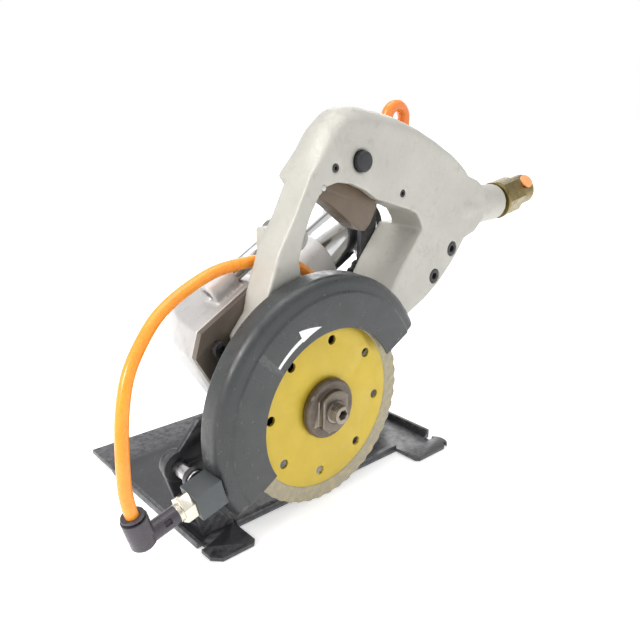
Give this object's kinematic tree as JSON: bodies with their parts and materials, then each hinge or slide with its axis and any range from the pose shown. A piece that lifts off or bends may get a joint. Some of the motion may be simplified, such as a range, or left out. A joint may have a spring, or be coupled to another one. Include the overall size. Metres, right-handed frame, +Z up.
{
  "type": "trim saw",
  "caption": "Hand-held air-powered wet trim saw for stone: guarded diamond blade, tilted vane motor, loop handle with trigger, water hose, hinged on a notched base shoe.",
  "frame": {"origin": "on the underside of the base shoe, below the spindle and midway across the shoe", "axes": "+X along the cut from the blade towards the air inlet at the rear, -Y to the blade side, +Z up"},
  "size_m": [0.3161, 0.1336, 0.2045],
  "materials": {
    "shoe_black": "semi-gloss black with light scuffs",
    "cast_alloy": "as cast, fine sandblasted grain",
    "cover_alloy": "brown-grey machined plate",
    "turned_alloy": "turned",
    "handle_alloy": "bead-blasted casting, clear coated",
    "black_screws": "black oxide",
    "bright_steel": "zinc plated",
    "bearing_steel": "ground",
    "ground_steel": "ground",
    "gear_steel": "hardened, oiled",
    "dark_steel": "bronzed steel, satin",
    "tube_steel": "drawn bright tube",
    "seal_rubber": "matte",
    "barrel_plating": "polished plating",
    "felt": "pressed felt",
    "black_plastic": "fine grain",
    "vane_plastic": "phenolic laminate",
    "blade_yellow": "gold-yellow lacquer",
    "diamond_rim": "sintered diamond segment, gritty",
    "guard_black": "semi-gloss charcoal",
    "block_anodised": "dark anodised",
    "nickel": "nickel plated",
    "fitting_plastic": "moulded",
    "hose_orange": "translucent polyurethane",
    "trigger_bronze": "moulded, satin",
    "brass": "machined, dulled",
    "plug_orange": "soft plug",
    "lever_orange": "moulded, glossy"
  },
  "bodies": {
    "base": {"base_shoe": "shoe_black", "hinge_bracket": "shoe_black", "hinge_pin": "bright_steel", "hinge_spacer": "bright_steel", "depth_bracket": "shoe_black", "bracket_rivets": "bright_steel"},
    "saw": {"gear_head": "cast_alloy", "head_cover": "cover_alloy", "cover_screws": "black_screws", "bearing_nose": "turned_alloy", "nose_screws": "black_screws", "spindle_seal": "seal_rubber", "spindle_bearings": "bearing_steel", "countershaft_bearings": "bearing_steel", "motor_bearings": "bearing_steel", "motor_housing": "cast_alloy", "motor_liner": "ground_steel", "link_arm": "shoe_black", "motor_rear_plate": "ground_steel", "motor_barrel": "barrel_plating", "silencer_sleeve": "felt", "exhaust_cap": "black_plastic", "barrel_clamp": "cast_alloy", "clamp_screws": "black_screws", "blade_guard": "guard_black", "guard_collar": "guard_black", "collar_screw": "black_screws", "water_block": "block_anodised", "water_nipple": "nickel", "water_elbow": "fitting_plastic", "elbow_collet": "fitting_plastic", "water_hose": "hose_orange", "rail_fitting": "fitting_plastic", "handle_casting": "handle_alloy", "foot_screws": "black_screws", "roll_pins": "black_screws", "air_elbow": "turned_alloy", "air_tube": "tube_steel", "trigger_pin": "bright_steel", "valve_spring": "bright_steel", "water_valve": "brass"},
    "arbor": {"spindle": "dark_steel", "spindle_gear": "gear_steel", "inner_flange": "dark_steel", "blade_core": "blade_yellow", "blade_rim": "diamond_rim", "flange_nut": "dark_steel"},
    "layshaft": {"countershaft": "ground_steel", "countershaft_pinion": "gear_steel", "countershaft_bevel": "gear_steel"},
    "motor_rotor": {"rotor": "ground_steel", "rotor_vanes": "vane_plastic", "rotor_pinion": "gear_steel"},
    "throttle_trigger": {"trigger": "trigger_bronze"},
    "throttle_stem": {"valve_stem": "brass"},
    "lock": {"lock_button": "black_plastic"},
    "inlet": {"inlet_coupling": "brass", "oil_plug": "plug_orange"},
    "water_tap": {"valve_lever": "lever_orange"},
    "depth_clamp": {"depth_knob": "black_plastic"}
  },
  "joints": [
    {"name": "plunge", "type": "hinge", "parent": "base", "child": "saw", "pos_m": [-0.072, 0, 0.035], "axis": [0, 1, 0], "range_deg": [0, 15]},
    {"name": "blade_spin", "type": "hinge", "parent": "saw", "child": "arbor", "pos_m": [0, -0.035, 0.054], "axis": [0, 1, 0], "continuous": true},
    {"name": "layshaft_spin", "type": "hinge", "parent": "saw", "child": "layshaft", "pos_m": [-0.01312, -0.005, 0.07673], "axis": [0, 1, 0], "continuous": true},
    {"name": "rotor_spin", "type": "hinge", "parent": "saw", "child": "motor_rotor", "pos_m": [0.02152, 0.0115, 0.09673], "axis": [0.866, 0, 0.5], "continuous": true},
    {"name": "trigger_pull", "type": "hinge", "parent": "saw", "child": "throttle_trigger", "pos_m": [0.006, -0.033, 0.1635], "axis": [0, -1, 0], "range_deg": [0, 6], "stiffness_Nm_per_rad": 2, "springref_deg": -8.59},
    {"name": "stem_slide", "type": "slide", "parent": "saw", "child": "throttle_stem", "axis": [0, 0, 1], "range_m": [0, 0.004], "deforming": ["valve_spring"]},
    {"name": "lock_push", "type": "slide", "parent": "saw", "child": "lock", "axis": [0, 1, 0], "range_m": [0, 0.002], "stiffness_N_per_m": 300, "springref_m": -0.003},
    {"name": "inlet_swivel", "type": "hinge", "parent": "saw", "child": "inlet", "pos_m": [0.165, -0.033, 0.142], "axis": [0.9848, 0, 0.1736], "continuous": true},
    {"name": "water_tap_turn", "type": "hinge", "parent": "saw", "child": "water_tap", "pos_m": [0.0965, -0.015, 0.16], "axis": [0, 1, 0], "range_deg": [0, 90]},
    {"name": "depth_knob_turn", "type": "hinge", "parent": "saw", "child": "depth_clamp", "pos_m": [0.0787, -0.005, 0.0997], "axis": [0, 1, 0], "range_deg": [-270, 0]}
  ],
  "couplings": [
    {"joint": "layshaft_spin", "follows": "blade_spin", "ratio": -2.5},
    {"joint": "rotor_spin", "follows": "blade_spin", "ratio": -3.75},
    {"joint": "stem_slide", "follows": "trigger_pull", "m_per_rad": 0.032}
  ]
}
